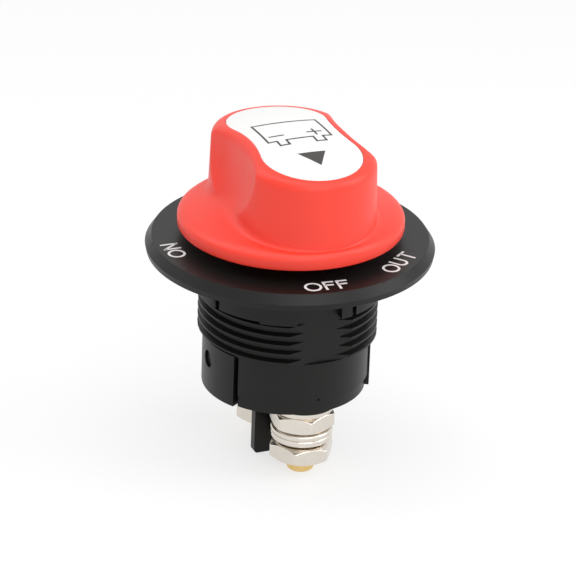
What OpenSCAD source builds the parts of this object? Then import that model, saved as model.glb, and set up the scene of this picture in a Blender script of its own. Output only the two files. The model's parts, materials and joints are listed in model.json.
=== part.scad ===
// Battery disconnect switch: a panel-mounted body with two stud terminals and a removable key knob.
// The origin is on the switch axis, in the plane where the flange seats on the panel.
// +Z points out of the panel to the knob, and the knob's pointer shows along -Y, at OFF.

/* [Flange and dial] */
// Diameter of the flange at its widest
flange_d = 69; // [64:0.5:80]
// Thickness of the flange
flange_t = 3.7; // [3.2:0.1:6]
// Width of the bevel round the flat dial face
dial_bevel_w = 1.5; // [0.5:0.1:3]
// Height of that bevel
dial_bevel_h = 2.2; // [1:0.1:2.6]
// Undercut of the flange's lower edge
rim_taper = 0.3; // [0:0.1:0.8]

/* [Collar and panel thread] */
// Step from the thread's crest out to the collar that fills the panel hole
collar_step = 1.2; // [0.6:0.1:2.4]
// Height of the collar
collar_h = 9.1; // [7:0.1:14]
// Step from the barrel's surface out to the thread's crest
thread_step = 1.7; // [1.6:0.05:2.2]
// Pitch of the panel thread
thread_pitch = 2.3; // [2:0.1:3]
// Depth of the panel thread
thread_depth = 1.15; // [0.7:0.05:1.3]
// Full turns of the panel thread
thread_turns = 5; // [3:1:8]
// Depth of the two flats below the thread's crest
flat_depth = 1.5; // [1:0.1:1.6]
// Width of the keyway through the collar
keyway_w = 8.4; // [5:0.2:12]
// Width of each notch in the collar's lower edge
notch_w = 1.3; // [0.8:0.1:2]
// Height of each notch
notch_h = 3.2; // [2:0.1:6]
// Height of the raised part of the collar's lower edge beside the keyway
collar_pad_h = 0.5; // [0.2:0.1:0.9]

/* [Barrel] */
// Distance from each stud's axis out to the cavity's wall
stud_inset = 6.4; // [6.2:0.1:8]
// Height of the plain barrel
barrel_h = 10.5; // [9.5:0.1:16]
// Wall of the barrel
barrel_wall = 2.5; // [2.2:0.1:2.8]
// Half the angle that each snap tab spans
tab_half_angle = 30; // [22:1:34]
// Length of each snap tab below the barrel
tab_drop = 3.2; // [2:0.1:4]
// Width of the slots beside a snap tab
slot_w = 1; // [0.6:0.1:1.6]
// Diameter of the snap hole in each tab
snap_hole_d = 4.3; // [3:0.1:5]

/* [Bottom cover] */
// Thickness of the bottom cover
cover_t = 3.3; // [2.6:0.1:5]
// Step from the barrel's surface in to the cover's
cover_step = 0.6; // [0.2:0.1:1]
// Diameter of the raised pad under each stud
pad_d = 16.4; // [15.4:0.1:16.6]
// Height of those pads
pad_h = 0.6; // [0.3:0.1:1.5]
// Width of the barrier between the studs
barrier_w = 16; // [10:0.5:24]
// Thickness of the barrier
barrier_t = 2.2; // [1.6:0.1:3]

/* [Terminals] */
// Nominal diameter of the studs
stud_d = 8; // [7.6:0.1:8.4]
// Distance between the two stud axes, from which the barrel's diameter follows
stud_pitch = 22; // [20:0.1:26]
// Nut size across its flats
nut_af = 14; // [13:0.5:14.5]
// Height of the lock nut
lock_nut_h = 4.7; // [3:0.1:6]
// Height of the terminal nut
terminal_nut_h = 4.5; // [3:0.1:6]
// Outside diameter of the washers
washer_d = 15; // [13.5:0.1:15.4]
// Thickness of the washer on the cover
seat_washer_t = 1.6; // [0.8:0.1:2.5]
// Thickness of the flat washer
flat_washer_t = 1.4; // [0.8:0.1:2.5]
// Thickness of the spring washer
spring_washer_t = 1.6; // [1:0.1:2.5]
// Bare stud left between the spring washer and the terminal nut
bare_stud = 0.8; // [0.4:0.1:12]
// Diameter of the stud's plain tip
stud_tip_d = 6.7; // [5.5:0.1:7]
// Length of the stud's tip below the terminal nut
stud_tip_h = 3.6; // [2:0.1:8]

/* [Knob] */
// Diameter of the knob's skirt
skirt_d = 54; // [50:0.5:60]
// Gap between the dial face and the skirt
skirt_gap = 2.9; // [1.5:0.1:5]
// Height of the skirt's outer wall
skirt_h = 3.9; // [3.4:0.1:6]
// Slope of the skirt's top in degrees
skirt_slope = 12; // [8:1:16]
// Height of the dome's top above the skirt's lower edge
knob_h = 23.6; // [20:0.1:30]
// Radius of the dome on top of the grip
dome_r = 72; // [55:1:90]
// Radius of each round end of the label
label_end_r = 13; // [12.6:0.1:13.6]
// Distance from the axis to the centre of each round end
label_end_c = 8.1; // [7.6:0.1:8.6]
// Half width of the label at its waist
label_waist = 11; // [10.4:0.1:11.4]
// Radius of the hollow on each side of the label
label_side_r = 63.6; // [50:0.5:90]
// Distance from the label's edge to the wall of the grip's round ends
grip_border = 3.1; // [2.6:0.1:3.4]
// Distance from the label's edge to the wall of the finger hollows
scoop_border = 2.3; // [2:0.1:2.5]
// Part of those borders that still follows the dome
rim_w = 0.8; // [0.4:0.1:1.2]
// Height of the rounding of the grip's top edge
grip_edge = 2.4; // [1.4:0.1:3]
// Draft of the grip's round ends in degrees
grip_draft = 2; // [1:0.5:4]
// Lean of the finger hollows in degrees
scoop_lean = 10.5; // [9:0.5:13]
// Thickness of the label
label_t = 1.2; // [0.6:0.1:1.6]
// Wall of the knob's shell
knob_wall = 2.6; // [2:0.1:3]

/* [Key stem and rotor] */
// Width across the flats of the square key stem
stem_w = 8.8; // [7.5:0.1:9.2]
// Diameter of the rotor's hub in the housing's bore
hub_d = 19.8; // [19:0.1:21]
// Height of the hub above the dial face
hub_rise = 3.3; // [1:0.1:4]
// Thickness of the housing's roof under the panel plane
roof_drop = 2.5; // [2:0.1:3.5]
// Thickness of the rotor's stop flange
stop_flange_t = 2.9; // [2:0.1:4]
// Height of the detent ring
detent_ring_h = 7; // [6:0.1:8]
// Distance from the rotor's body out to the cavity's wall
rotor_inset = 5.4; // [5:0.1:6.2]
// Wire of the seal round the hub
shaft_seal_d = 1.5; // [1:0.1:1.6]
// Diameter of the screw that holds the key stem
stem_screw_d = 4; // [3:0.5:4]
// Depth of the stem's top under the dome
stem_drop = 8.2; // [7.5:0.1:10]
// Length of the screw in the stem
stem_screw_l = 8; // [5:0.5:12]
// Diameter of the detent balls
ball_d = 4; // [3:0.1:4.4]
// Diameter of the skirt that carries the contact bridge
carrier_d = 19; // [18:0.1:20]
// Turn from OFF to ON in degrees
on_turn = 90; // [60:5:90]
// Turn from OFF to the position where the key comes out
out_turn = 45; // [30:5:60]

/* [Contacts] */
// Thickness of the studs' heads
stud_head_t = 2.7; // [2:0.1:3.5]
// Width of the contact bridge
bridge_w = 9; // [7:0.1:9.4]
// Reach of the contact bridge past each stud's axis
bridge_reach = 3.5; // [2.5:0.1:4]
// Thickness of the contact bridge
bridge_t = 2; // [1.5:0.1:2.5]
// Thickness of the silver contact tips
contact_t = 0.9; // [0.5:0.1:1.2]
// Diameter of the contact spring's wire
spring_wire = 1; // [0.7:0.1:1.2]
// Height of the contact spring
spring_h = 8; // [6:0.5:9]

/* [Fits] */
// Running clearance of turning and sliding pieces
run_gap = 0.1; // [0.05:0.01:0.2]
// Clearance of pieces that are fixed to each other
fit_gap = 0.15; // [0.05:0.01:0.25]

/* [Hidden] */
$fn = 96;

// Heights from the dial down to the stud tips
z_face = flange_t;
z_collar = -collar_h;
z_thread_end = z_collar - thread_pitch * thread_turns - 0.2;
z_seam = z_thread_end - barrel_h;
z_cover = z_seam - cover_t;
z_pad = z_cover - pad_h;
z_seat_washer = z_pad - seat_washer_t;
z_lock_nut = z_seat_washer - lock_nut_h;
z_flat_washer = z_lock_nut - flat_washer_t;
z_spring_washer = z_flat_washer - spring_washer_t;
z_terminal_nut = z_spring_washer - bare_stud - terminal_nut_h;
z_tip = z_terminal_nut - stud_tip_h;

// Housing and cover
cavity_r = stud_pitch / 2 + stud_inset;
barrel_d = 2 * (cavity_r + barrel_wall);
thread_d = barrel_d + 2 * thread_step;
collar_d = thread_d + 2 * collar_step;
flat_dist = thread_d / 2 - flat_depth;
root_r = thread_d / 2 - thread_depth;
tab_r = barrel_d / 2 + 0.4;
tab_lip = 0.7;
cover_r = barrel_d / 2 - cover_step;
plug_r = cavity_r - fit_gap;
plug_h = 2.4;
plug_wall = 1.95;
groove_edge = 0.5;
snap_wall_t = 1.5;
snap_wall_r = plug_r - 0.1;
snap_z = z_seam + barrel_h / 2;
seal_wire = 1.1;
barrier_round = 1;
notch_angle = 20;
key_side = 2.4;
collar_pad_angle = 28.7;
collar_pad_half = 11.2;

// Rotor stack under the roof
z_roof = -roof_drop;
bore_r = hub_d / 2 + run_gap;
thrust_t = 0.5;
z_stop_top = z_roof - run_gap - thrust_t;
z_stop = z_stop_top - stop_flange_t;
z_ring_top = z_stop - run_gap;
z_ring = z_ring_top - detent_ring_h;
z_ball = (z_ring_top + z_ring) / 2;
rotor_d = 2 * (cavity_r - rotor_inset);
stop_rib_r = cavity_r - 1.9;
stop_flange_r = stop_rib_r - 0.3;
lug_half_angle = 6;
rib_half_angle = 5;
stop_slack = 1;
ball_bore_r = ball_d / 2 + run_gap;
z_socket = z_ball + ball_bore_r + 0.6;
z_stem = z_socket + 0.5;
z_hub = z_face + hub_rise;
groove_w = shaft_seal_d + 0.2;
ball_r_out = rotor_d / 2 + 1.9;
ring_bore_r = ball_r_out + run_gap;
dimple_depth = 0.35;

// Contacts, from the stud heads up
z_head = z_seam + stud_head_t;
z_contact = z_head + run_gap;
z_bridge = z_contact + contact_t;
z_bridge_top = z_bridge + bridge_t;
z_pocket = z_bridge_top + spring_h;
z_carrier = z_bridge - 0.2;
stud_head_d = 11.2;
bridge_l = stud_pitch + 2 * bridge_reach;
spring_r = 5.4;
pocket_r = spring_r + spring_wire / 2 + fit_gap + 0.6;

// Knob
z_skirt = z_face + skirt_gap;
z_shoulder = z_skirt + skirt_h;
z_apex = z_skirt + knob_h;
shoulder_r = skirt_d / 2 - 1.4;
label_side_c = label_waist + label_side_r;
corner_blend = 1.4;
scoop_blend = 1.2;
foot_fillet = 1.6;
label_play = 0.12;
z_knob_floor = z_hub + 0.15;
z_stem_top = z_apex - stem_drop;
z_screw_seat = z_stem_top + 3;

// Colours
black = [0.12, 0.12, 0.13];
red = [0.93, 0.2, 0.15];
white = [0.95, 0.95, 0.93];
brass = [0.8, 0.64, 0.32];
nickel = [0.72, 0.7, 0.66];
copper = [0.76, 0.45, 0.3];
grey = [0.5, 0.5, 0.52];

// A ring between two radii and two heights
module ring(r_out, r_in, z_low, z_high) {
    translate([0, 0, z_low])
        rotate_extrude()
            translate([r_in, 0]) square([r_out - r_in, z_high - z_low]);
}

// A sector of a ring, centred on an angle
module ring_sector(r_out, r_in, z_low, z_high, middle, half_angle) {
    rotate([0, 0, middle - half_angle])
        translate([0, 0, z_low])
            rotate_extrude(angle = 2 * half_angle)
                translate([r_in, 0]) square([r_out - r_in, z_high - z_low]);
}

// The places of the two studs, -1 in front under the OFF mark and 1 behind
module at_stud(side) {
    translate([0, side * stud_pitch / 2, 0]) children();
}

// Faces that join rings of points along a wire into a closed sweep
function sweep_faces(rings, sides) = concat(
    [[for (j = [0 : sides - 1]) j]],
    [for (i = [0 : rings - 2], j = [0 : sides - 1])
        [i * sides + j, (i + 1) * sides + j, i * sides + (j + 1) % sides]],
    [for (i = [0 : rings - 2], j = [0 : sides - 1])
        [(i + 1) * sides + j, (i + 1) * sides + (j + 1) % sides, i * sides + (j + 1) % sides]],
    [[for (j = [sides - 1 : -1 : 0]) (rings - 1) * sides + j]]
);

// Solid helical thread on the axis, longer than needed at both ends. Each row of its grid follows
// the helix, and the column after the last is the first one again, four rows further down.
module thread_core() {
    columns = 48;
    per_turn = 4;
    turns = thread_turns + 3;
    rows = per_turn * turns + 1;
    last = rows - 1;
    crest_w = 0.44;
    root_w = 0.8;
    flank = (thread_pitch - crest_w - root_w) / 2;
    drop = [0, root_w, root_w + flank, root_w + flank + crest_w];
    radius = [root_r, root_r, thread_d / 2, thread_d / 2];
    z_start = z_collar + 1.6 * thread_pitch;
    top = columns * rows;
    // Index of row k in column i
    function at(i, k) = i < columns ? i * rows + k : k + per_turn;
    // Last row that column i and the next one share
    function shared(i) = i == columns - 1 ? last - per_turn : last;
    points = concat(
        [for (i = [0 : columns - 1], k = [0 : last])
            let (a = 360 * i / columns,
                 turn = i / columns + floor(k / per_turn),
                 r = radius[k % per_turn])
            [r * cos(a), r * sin(a), z_start - thread_pitch * turn - drop[k % per_turn]]],
        [[0, 0, z_start], [0, 0, z_start - thread_pitch * turns]]);
    faces = concat(
        [for (i = [0 : columns - 1], k = [0 : shared(i) - 1]) [at(i, k), at(i + 1, k), at(i, k + 1)]],
        [for (i = [0 : columns - 1], k = [0 : shared(i) - 1]) [at(i + 1, k), at(i + 1, k + 1), at(i, k + 1)]],
        [for (i = [0 : columns - 1]) [top, at(i + 1, 0), at(i, 0)]],
        [for (k = [0 : per_turn - 1]) [top, at(0, k), at(0, k + 1)]],
        [for (i = [0 : columns - 2]) [top + 1, at(i, last), at(i + 1, last)]],
        [for (k = [shared(columns - 1) : last - 1])
            [top + 1, at(columns - 1, k + 1), at(columns - 1, k)]],
        [[top + 1, at(columns - 1, shared(columns - 1)), at(0, last)]]
    );
    polyhedron(points, faces, convexity = 10);
}

// Thread of the panel nut, a sleeve cut from that core
module thread_sleeve() {
    intersection() {
        thread_core();
        ring(collar_d / 2, cavity_r + 1, z_thread_end, z_collar + 0.5);
    }
}

// Raised part of the collar's lower edge beside the keyway
module collar_pad() {
    ring_sector(collar_d / 2, flat_dist - 0.6, z_collar - collar_pad_h, z_collar + 0.3,
                -90 - collar_pad_angle, collar_pad_half);
}

// Moulded housing: flange, collar, thread and barrel round one cavity, with two snap tabs
module housing() {
    face_r = flange_d / 2 - dial_bevel_w;
    rib_low = 90 - on_turn - lug_half_angle - rib_half_angle - stop_slack;
    rib_high = 90 + out_turn + lug_half_angle + rib_half_angle + stop_slack;
    color(black) {
    collar_pad();
    difference() {
        union() {
            rotate_extrude()
                polygon([
                    [bore_r, z_face], [face_r, z_face],
                    [flange_d / 2, z_face - dial_bevel_h],
                    [flange_d / 2 - rim_taper, 0], [collar_d / 2, 0],
                    [collar_d / 2, z_collar], [barrel_d / 2, z_collar],
                    [barrel_d / 2, z_seam], [cavity_r, z_seam],
                    [cavity_r, z_roof], [bore_r, z_roof]
                ]);
            ring(bore_r + 2.6, bore_r, z_face, z_face + 1);
            thread_sleeve();
            for (middle = [0, 180])
                ring_sector(tab_r, cavity_r, z_seam - tab_drop, z_thread_end - 0.5, middle, tab_half_angle);
            for (middle = [rib_low, rib_high])
                ring_sector(cavity_r + 0.5, stop_rib_r, z_stop, z_roof + 0.1, middle, rib_half_angle);
        }
        // Flats down the thread, in front and behind
        for (side = [-1, 1])
            translate([-collar_d / 2, side < 0 ? -collar_d - flat_dist : flat_dist, z_thread_end + 0.01])
                cube([collar_d, collar_d, z_collar - z_thread_end - 0.01]);
        // Keyway through the collar in front, over the flat
        translate([-keyway_w / 2 - key_side, -collar_d - flat_dist, z_collar - 1])
            cube([keyway_w + key_side, collar_d, collar_h + 1]);
        // Four notches in the collar's lower edge
        for (i = [0 : 3])
            rotate([0, 0, notch_angle + 90 * i])
                translate([-notch_w / 2, -collar_d / 2 - 1, z_collar - 1])
                    cube([notch_w, collar_d / 2 + 1 - root_r, notch_h + 1]);
        // Slots on both sides of each snap tab
        for (middle = [0, 180], edge = [-1, 1])
            rotate([0, 0, middle + edge * (tab_half_angle + 1)])
                translate([cavity_r - 1, -slot_w / 2, z_seam - tab_drop - 1])
                    cube([tab_r - cavity_r + 3, slot_w, barrel_h + tab_drop + 0.4]);
        // Snap holes
        translate([-barrel_d, 0, snap_z])
            rotate([0, 90, 0]) cylinder(d = snap_hole_d, h = 2 * barrel_d);
        // Small notch at the foot of the mould line
        translate([0, -barrel_d / 2, z_seam])
            rotate([0, 45, 0]) cube([1.3, 0.8, 1.3], center = true);
    }
    }
}

// Bottom cover: disc with stud pads and barrier, a plug with a seal groove and two snap walls
module bottom_cover() {
    groove_r = plug_r - seal_wire;
    groove_low = z_seam + groove_edge;
    groove_high = groove_low + seal_wire + 0.2;
    color(black)
    difference() {
        union() {
            rotate_extrude()
                polygon([
                    [0, z_cover], [plug_r, z_cover], [plug_r, groove_low],
                    [groove_r, groove_low], [groove_r, groove_high], [plug_r, groove_high],
                    [plug_r, z_seam + plug_h], [plug_r - plug_wall, z_seam + plug_h],
                    [plug_r - plug_wall, z_seam], [0, z_seam]
                ]);
            for (side = [-1, 1]) {
                // The rim stands out between the tabs only
                ring_sector(cover_r, plug_r - 1, z_cover, z_seam, side * 90, 90 - tab_half_angle - 1.6);
                at_stud(side) translate([0, 0, z_pad]) cylinder(d = pad_d, h = pad_h + 0.5);
                ring_sector(snap_wall_r, snap_wall_r - snap_wall_t, z_seam + plug_h - 0.2, z_ring - run_gap,
                            90 + side * 90, tab_half_angle + 8);
            }
            // Pegs of the snap walls in the tabs' holes
            for (side = [0, 180])
                rotate([0, 0, side])
                    translate([snap_wall_r - 0.6, 0, snap_z])
                        rotate([0, 90, 0])
                            cylinder(d = snap_hole_d - 2 * fit_gap, h = tab_r - tab_lip - snap_wall_r + 0.6);
            barrier();
        }
        // Stud holes
        for (side = [-1, 1])
            at_stud(side) translate([0, 0, z_pad - 1])
                cylinder(d = stud_d + 2 * run_gap, h = cover_t + pad_h + 2);
    }
}

// Barrier between the studs, with its two lower corners rounded
module barrier() {
    h = z_cover - z_tip;
    translate([0, barrier_t / 2, z_tip])
        rotate([90, 0, 0])
            linear_extrude(barrier_t)
                union() {
                    translate([-barrier_w / 2, barrier_round]) square([barrier_w, h - barrier_round + 0.5]);
                    translate([-barrier_w / 2 + barrier_round, 0])
                        square([barrier_w - 2 * barrier_round, barrier_round + 0.1]);
                    for (side = [-1, 1])
                        translate([side * (barrier_w / 2 - barrier_round), barrier_round])
                            circle(r = barrier_round);
                }
}

// Seal in the groove of the cover's plug
module cover_seal() {
    color(grey)
    translate([0, 0, z_seam + groove_edge + (seal_wire + 0.2) / 2])
        rotate_extrude() translate([plug_r - seal_wire / 2, 0]) circle(d = seal_wire, $fn = 32);
}

// Ring with a dimple for each ball at each of the three positions
module detent_ring() {
    dimple_r = ball_d / 2 + 0.3;
    color(grey)
    difference() {
        ring(plug_r, ring_bore_r, z_ring, z_ring_top);
        for (turn = [0, on_turn, -out_turn], side = [0, 180])
            rotate([0, 0, -90 - turn + side])
                translate([ring_bore_r + dimple_depth - dimple_r, 0, z_ball])
                    sphere(r = dimple_r, $fn = 48);
    }
}

// Rotor: hub with the square socket, stop flange and lug, ball bore and contact carrier
module rotor() {
    color(white)
    difference() {
        union() {
            rotate_extrude()
                polygon([
                    [0, z_hub], [hub_d / 2 - 0.6, z_hub], [hub_d / 2, z_hub - 0.6],
                    [hub_d / 2, z_stop_top], [stop_flange_r, z_stop_top],
                    [stop_flange_r, z_stop], [rotor_d / 2, z_stop],
                    [rotor_d / 2, z_ring - 1], [carrier_d / 2, z_ring - 2.5],
                    [carrier_d / 2, z_carrier], [0, z_carrier]
                ]);
            ring_sector(cavity_r - 0.4, stop_flange_r - 1, z_stop, z_stop_top, 90, lug_half_angle);
        }
        socket_w = stem_w + 2 * run_gap;
        translate([-socket_w / 2, -socket_w / 2, z_socket]) cube([socket_w, socket_w, z_hub - z_socket + 1]);
        // Seal groove in the hub
        ring(hub_d, hub_d / 2 - shaft_seal_d, z_face / 2 - groove_w / 2, z_face / 2 + groove_w / 2);
        // Cross bore for the balls and their spring
        translate([0, rotor_d, z_ball]) rotate([90, 0, 0]) cylinder(r = ball_bore_r, h = 2 * rotor_d);
        // Pocket of the contact spring, and the slot in which the bridge rides
        translate([0, 0, z_carrier - 1]) cylinder(r = pocket_r, h = z_pocket - z_carrier + 1);
        slot = bridge_w + 2 * fit_gap;
        translate([-carrier_d, -slot / 2, z_carrier - 1])
            cube([2 * carrier_d, slot, z_bridge_top - z_carrier + 3.5]);
    }
}

// Slide washer between the rotor's flange and the roof
module thrust_washer() {
    color(nickel) ring(stop_flange_r - 0.3, bore_r + 0.2, z_stop_top, z_stop_top + thrust_t);
}

// Seal round the hub
module shaft_seal() {
    color(grey)
    translate([0, 0, z_face / 2])
        rotate_extrude()
            translate([hub_d / 2 - shaft_seal_d / 2, 0]) circle(d = shaft_seal_d, $fn = 32);
}

// The two balls that drop into the dimples
module detent_balls() {
    color(nickel)
    for (side = [-1, 1])
        translate([0, side * (ball_r_out - ball_d / 2), z_ball]) sphere(d = ball_d, $fn = 48);
}

// A coil spring from z = 0 up to a height, with its wire's centre at radius r
module coil(r, wire, height, turns, steps, sides) {
    rings = turns * steps + 1;
    points = [for (i = [0 : rings - 1])
        let (a = 360 * i / steps,
             z = wire / 2 + (height - wire) * i / (rings - 1))
        for (j = [0 : sides - 1])
            let (b = 360 * j / sides, q = r + wire / 2 * cos(b))
            [q * cos(a), q * sin(a), z + wire / 2 * sin(b)]];
    polyhedron(points, sweep_faces(rings, sides), convexity = 10);
}

// One spring between the two balls
module detent_spring() {
    wire = 0.6;
    reach = ball_r_out - ball_d;
    color(nickel)
    translate([0, reach, z_ball]) rotate([90, 0, 0])
        coil(ball_bore_r - wire / 2 - run_gap, wire, 2 * reach, 9, 14, 6);
}

// Spring that presses the bridge down on the studs' heads
module contact_spring() {
    color(nickel)
    translate([0, 0, z_bridge_top]) coil(spring_r, spring_wire, spring_h, 4, 24, 8);
}

// Copper bridge, across the studs' line at OFF, with rounded ends
module contact_bridge() {
    color(copper)
    translate([0, 0, z_bridge])
        linear_extrude(bridge_t)
            intersection() {
                square([bridge_l, bridge_w], center = true);
                circle(d = bridge_l + 1);
            }
}

// Silver tips under the bridge's ends
module contact_tips() {
    color(nickel)
    for (side = [-1, 1])
        translate([side * stud_pitch / 2, 0, z_contact]) cylinder(d = bridge_w - 2, h = contact_t);
}

// Outline of the label, as a radius at angle t from the pointer, grown outward by e
function blend_min(a, b, k) =
    let (h = max(0, min(1, 0.5 + (b - a) / (2 * k)))) b + (a - b) * h - k * h * (1 - h);
function end_radius(t, e) =
    label_end_c * abs(cos(t)) + sqrt(pow(label_end_r + e, 2) - pow(label_end_c * sin(t), 2));
function side_radius(t, e) =
    label_side_c * abs(sin(t))
    - sqrt(max(0, pow(label_side_r - e, 2) - pow(label_side_c * cos(t), 2)));
function outline_radius(t, e) =
    let (across = abs(sin(t)))
    across > 0.9 ? side_radius(t, e)
    : across < 0.55 ? end_radius(t, e)
    : blend_min(end_radius(t, e), side_radius(t, e), corner_blend);
// Points of that outline, where t = 0 is the pointer's direction, -Y
function outline(e, count) = [for (i = [0 : count - 1])
    let (t = 360 * i / count, r = outline_radius(t, e)) [r * sin(t), -r * cos(t)]];

// Height of the dome over the radius r
function dome_z(r) = z_apex - dome_r + sqrt(dome_r * dome_r - r * r);

// Points on a smooth corner from a to b, pulled toward the corner point c
function bend(a, c, b, count) = [for (i = [0 : count])
    let (u = i / count) a * (1 - u) * (1 - u) + c * 2 * u * (1 - u) + b * u * u];

// Radius of the grip's body without its finger hollows: two round ends and straight sides
function body_radius(t, e) =
    let (r = label_end_r + e)
    r * abs(cos(t)) <= label_end_c * abs(sin(t)) ? r / abs(sin(t)) : end_radius(t, e);
// Radius of the finger hollows' walls, far out where there is no hollow
function scoop_radius(t, e) =
    label_side_c * abs(cos(t)) < label_side_r - e ? side_radius(t, e) : skirt_d;
// Radius of the grip's wall at a depth under its top edge
function grip_radius(t, depth) = blend_min(
    body_radius(t, grip_border + depth * tan(grip_draft)),
    scoop_radius(t, scoop_border + depth * tan(scoop_lean)),
    scoop_blend);

// Height of the skirt's sloping top over the radius r
function skirt_z(r) = z_shoulder + (shoulder_r - r) * tan(skirt_slope);
// Radius at which the grip's wall meets the skirt, found in a few steps
function foot_radius(t, z_top, r, steps) =
    steps == 0 ? r : foot_radius(t, z_top, grip_radius(t, z_top - skirt_z(r)), steps - 1);

// Section of the knob at angle t, as radius and height, from the skirt's lower edge to the dome
function knob_section(t) =
    let (top_r = grip_radius(t, 0),
         z_top = dome_z(top_r),
         foot_r = foot_radius(t, z_top, 20, 5),
         z_foot = skirt_z(foot_r),
         fillet = min(foot_fillet, 0.8 * (shoulder_r - foot_r)),
         z_low = z_foot + fillet,
         z_high = z_top - grip_edge,
         edge_r = min(outline_radius(t, rim_w), top_r - 0.6))
    concat(
        [[skirt_d / 2 - 0.4, z_skirt], [skirt_d / 2, z_skirt + 0.4]],
        bend([skirt_d / 2, z_shoulder - 1.5], [skirt_d / 2, z_shoulder - 0.1],
             [shoulder_r, z_shoulder], 4),
        bend([foot_r + fillet, skirt_z(foot_r + fillet)], [foot_r, z_foot],
             [grip_radius(t, z_top - z_low), z_low], 4),
        [for (part = [0.2 : 0.2 : 0.81])
            let (z = z_low + (z_high - z_low) * part) [grip_radius(t, z_top - z), z]],
        bend([grip_radius(t, grip_edge), z_high], [top_r, z_top], [edge_r, dome_z(edge_r)], 5),
        [for (part = [0.8, 0.6, 0.4, 0.2]) [edge_r * part, dome_z(edge_r * part)]]
    );

// Solid form of the knob: one section for each angle, joined round the axis
module knob_form() {
    count = 84;
    sections = [for (i = [0 : count - 1]) knob_section(360 * i / count)];
    levels = len(sections[0]);
    points = concat(
        [for (i = [0 : count - 1], q = sections[i])
            [q[0] * sin(360 * i / count), -q[0] * cos(360 * i / count), q[1]]],
        [[0, 0, z_skirt], [0, 0, z_apex]]);
    low = count * levels;
    faces = concat(
        [for (i = [0 : count - 1], k = [0 : levels - 2])
            let (a = i * levels + k, b = ((i + 1) % count) * levels + k) [a, a + 1, b]],
        [for (i = [0 : count - 1], k = [0 : levels - 2])
            let (a = i * levels + k, b = ((i + 1) % count) * levels + k) [a + 1, b + 1, b]],
        [for (i = [0 : count - 1])
            let (a = i * levels, b = ((i + 1) % count) * levels) [low, a, b]],
        [for (i = [0 : count - 1])
            let (a = (i + 1) * levels - 1, b = ((i + 1) % count) * levels + levels - 1) [low + 1, b, a]]
    );
    polyhedron(points, faces, convexity = 10);
}

// A layer under the dome, between two depths, with the label's outline grown by e
module under_dome(e, depth_top, depth_low) {
    intersection() {
        translate([0, 0, z_apex - 8]) linear_extrude(12) polygon(outline(e, 96));
        translate([0, 0, z_apex - dome_r])
            difference() {
                sphere(r = dome_r - depth_top, $fn = 96);
                sphere(r = dome_r - depth_low, $fn = 96);
            }
    }
}

// Knob: skirt and grip with two finger hollows, hollow from below, with a seat for the label on the dome
module knob() {
    rib = stem_w / 2 + 2.6;
    color(red)
    difference() {
        knob_form();
        under_dome(label_play, -2, label_t + 0.1);
        // Hollow of the skirt
        rotate_extrude()
            polygon([
                [0, z_skirt - 1], [skirt_d / 2 - knob_wall + 0.1, z_skirt - 1],
                [skirt_d / 2 - knob_wall, z_shoulder - knob_wall + 0.4],
                [skirt_d / 2 - knob_wall - 1.2, z_shoulder - knob_wall + 1.2],
                [rib + 1, z_shoulder - knob_wall + 1.2], [rib + 1, z_knob_floor], [0, z_knob_floor]
            ]);
        // Hollows of the grip's two lobes
        intersection() {
            translate([0, 0, z_skirt]) linear_extrude(z_apex - z_skirt - 8.5)
                polygon(outline(scoop_border - knob_wall, 48));
            for (side = [-1, 1])
                translate([-skirt_d / 2, side < 0 ? -rib - skirt_d : rib, z_skirt])
                    cube([skirt_d, skirt_d, knob_h]);
        }
        // Seat of the stem, and the screw's hole and counterbore
        translate([-stem_w / 2, -stem_w / 2, z_skirt]) cube([stem_w, stem_w, z_stem_top - z_skirt]);
        cylinder(d = stem_screw_d, h = z_apex);
        translate([0, 0, z_screw_seat]) cylinder(d = 2 * stem_screw_d, h = knob_h);
    }
}

// White label inset in the dome
module knob_label() {
    color(white) under_dome(0, 0.12, label_t + 0.1);
}

// Square key stem, with a tapered lower end and the screw's hole
module drive_stem() {
    color(nickel)
    difference() {
        translate([-stem_w / 2, -stem_w / 2, z_stem]) cube([stem_w, stem_w, z_stem_top - z_stem]);
        translate([0, 0, z_stem_top - stem_screw_l - 1]) cylinder(d = stem_screw_d, h = stem_screw_l + 2);
        for (turn = [0, 90, 180, 270])
            rotate([0, 0, turn])
                translate([stem_w / 2, 0, z_stem]) rotate([0, 45, 0]) cube([1, 2 * stem_w, 1], center = true);
    }
}

// Screw that holds the stem in the knob, under the label
module stem_screw() {
    color(nickel)
    difference() {
        union() {
            translate([0, 0, z_stem_top - stem_screw_l])
                cylinder(d = stem_screw_d, h = z_screw_seat - z_stem_top + stem_screw_l);
            translate([0, 0, z_screw_seat]) cylinder(d = 1.9 * stem_screw_d, h = 2.4);
        }
        translate([0, 0, z_screw_seat + 1.2]) cube([0.6, 4.4, 3], center = true);
        translate([0, 0, z_screw_seat + 1.2]) cube([4.4, 0.6, 3], center = true);
    }
}

// Brass stud: trimmed round head inside the cover, thread and plain tip
module stud(side) {
    color(brass)
    union() {
        intersection() {
            at_stud(side) translate([0, 0, z_seam]) cylinder(d = stud_head_d, h = stud_head_t);
            ring(plug_r - plug_wall - fit_gap, 0, z_seam - 1, z_head + 1);
        }
        at_stud(side) translate([0, 0, z_terminal_nut]) cylinder(d = stud_d, h = z_seam - z_terminal_nut + 0.5);
        at_stud(side)
            translate([0, 0, z_tip])
                rotate_extrude()
                    polygon([[0, 0], [stud_tip_d / 2 - 0.5, 0], [stud_tip_d / 2, 0.5],
                             [stud_tip_d / 2, stud_tip_h + 0.2], [0, stud_tip_h + 0.2]]);
    }
}

// Flat washer with its top at a height
module washer(side, z_low, t) {
    color(nickel) at_stud(side) ring(washer_d / 2, stud_d / 2 + 0.25, z_low, z_low + t);
}

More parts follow.
